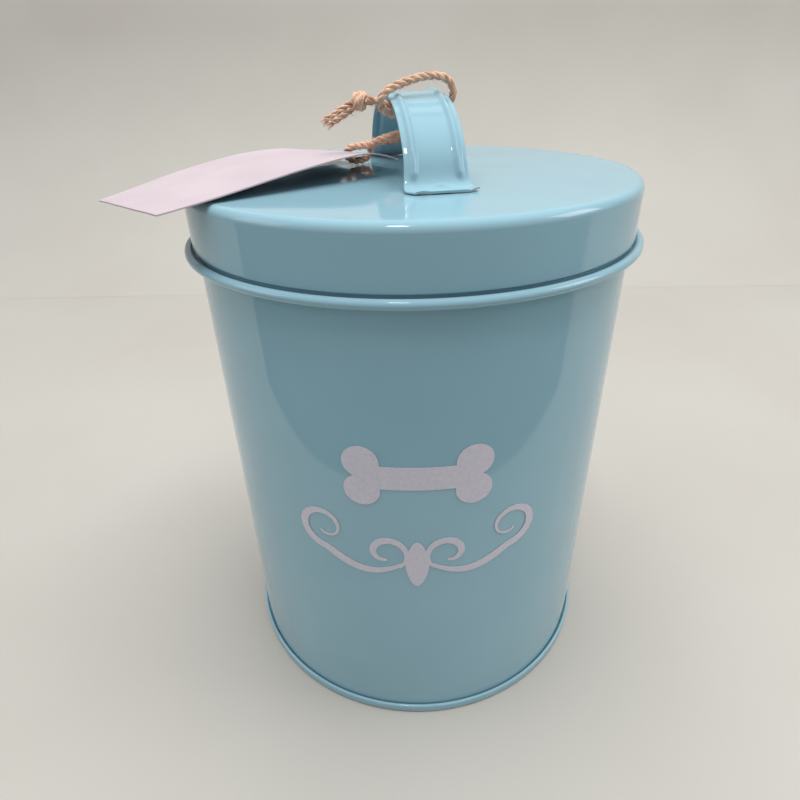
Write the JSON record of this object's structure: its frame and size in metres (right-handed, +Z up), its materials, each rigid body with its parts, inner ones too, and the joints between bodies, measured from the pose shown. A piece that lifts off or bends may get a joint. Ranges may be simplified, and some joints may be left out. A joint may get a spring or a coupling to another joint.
{
  "type": "pet treat tin",
  "caption": "Round powder-coated steel storage tin with a slip-over lift-off lid, a riveted-look strap handle, printed front and a blank card tag tied on with jute twine",
  "frame": {"origin": "centre of the foot ring, on the surface the tin stands on", "axes": "+Z up along the tin's axis, the printed front faces -Y, +X to the right seen from the front"},
  "size_m": [0.1729, 0.15, 0.212],
  "materials": {
    "enamel": "gloss powder coat, pale blue",
    "print": "off-white screen print",
    "weld_steel": "bare spot weld, hidden between the sheets",
    "jute": "twisted natural jute",
    "card": "uncoated pale card"
  },
  "bodies": {
    "bin": {"body_shell": "enamel", "base_disc": "enamel", "bone_print": "print", "scroll_print": "print"},
    "lid": {"lid_shell": "enamel", "handle_strap": "enamel", "front_weld_nugget": "weld_steel", "rear_weld_nugget": "weld_steel", "twine_loop": "jute", "twine_knot": "jute", "twine_tail_upper": "jute", "twine_tail_lower": "jute"},
    "tag": {"swing_tag": "card"}
  },
  "joints": [
    {"name": "lid_lift", "type": "slide", "parent": "bin", "child": "lid", "axis": [0, 0, 1], "range_m": [0, 0.05]},
    {"name": "tag_swing", "type": "hinge", "parent": "lid", "child": "tag", "pos_m": [-0.01905, 0.01494, 0.1876], "axis": [-0.6455, 0.7638, 0], "range_deg": [0, 6]}
  ]
}
